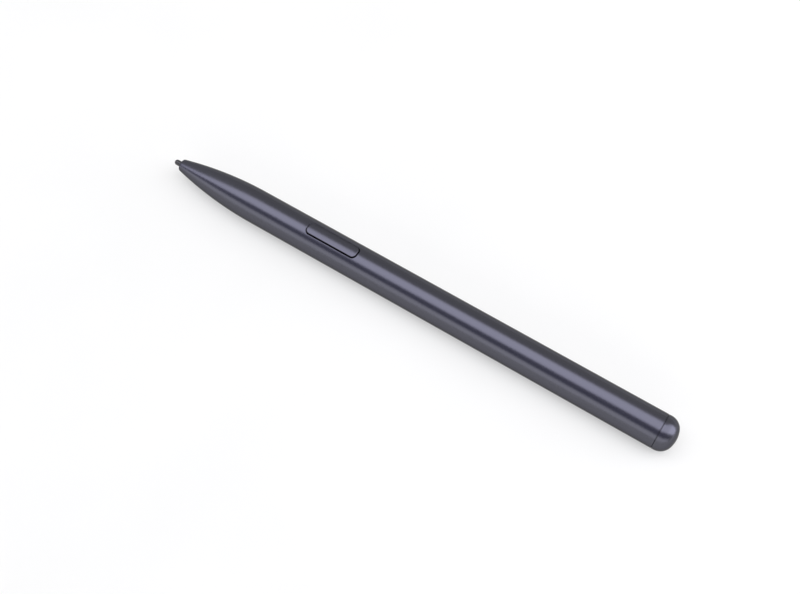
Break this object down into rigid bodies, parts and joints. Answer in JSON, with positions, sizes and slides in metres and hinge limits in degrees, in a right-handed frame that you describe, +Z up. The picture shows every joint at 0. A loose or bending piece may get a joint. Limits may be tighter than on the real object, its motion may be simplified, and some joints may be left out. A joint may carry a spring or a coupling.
{
  "type": "stylus pen",
  "caption": "Slim round stylus with a tapered nose, a sprung replaceable nib, a slightly raised side button, a domed end cap and a flat along its underside.",
  "frame": {"origin": "middle of the flat underside, halfway along the pen", "axes": "+X from the nib's tip to the end cap along the pen, +Z up through the side button"},
  "size_m": [0.143, 0.0088, 0.0087],
  "materials": {
    "slate_shell": "satin metallic dark slate coating with a violet tint",
    "nib_plastic": "moulded dark grey",
    "black_rubber": "matt",
    "ferrite": "sintered dark grey",
    "copper_wire": "enamelled copper",
    "inner_plastic": "moulded black",
    "contact_brass": "plated",
    "spring_steel": "bright drawn",
    "ceramic": "fired ceramic",
    "board_laminate": "solder mask",
    "magnet_plating": "nickel plate"
  },
  "bodies": {
    "pen": {"barrel": "slate_shell", "end_cap": "slate_shell", "front_cushion": "black_rubber", "ferrite_core": "ferrite", "coil_winding": "copper_wire", "core_buffer": "black_rubber", "coil_leads": "copper_wire", "sensor_case": "inner_plastic", "front_terminal": "contact_brass", "return_spring": "spring_steel", "dielectric_disc": "ceramic", "rear_terminal": "contact_brass", "inner_frame": "inner_plastic", "circuit_board": "board_laminate", "tuning_capacitors": "ceramic", "side_switch": "inner_plastic", "switch_dome": "spring_steel", "holding_magnets": "magnet_plating", "tail_cushion": "black_rubber"},
    "nib_carrier": {"nib_holder": "inner_plastic", "contact_rubber": "black_rubber"},
    "nib": {"nib": "nib_plastic"},
    "side_button": {"side_button": "slate_shell", "switch_stem": "inner_plastic"}
  },
  "joints": [
    {"name": "nib_press", "type": "slide", "parent": "pen", "child": "nib_carrier", "axis": [1, 0, 0], "range_m": [0, 0.0004], "stiffness_N_per_m": 1000, "deforming": ["return_spring"]},
    {"name": "nib_pull", "type": "slide", "parent": "nib_carrier", "child": "nib", "axis": [-1, 0, 0], "range_m": [0, 0.03]},
    {"name": "button_press", "type": "slide", "parent": "pen", "child": "side_button", "axis": [0, 0, -1], "range_m": [0, 0.0003], "stiffness_N_per_m": 3000, "deforming": ["switch_dome"]}
  ]
}
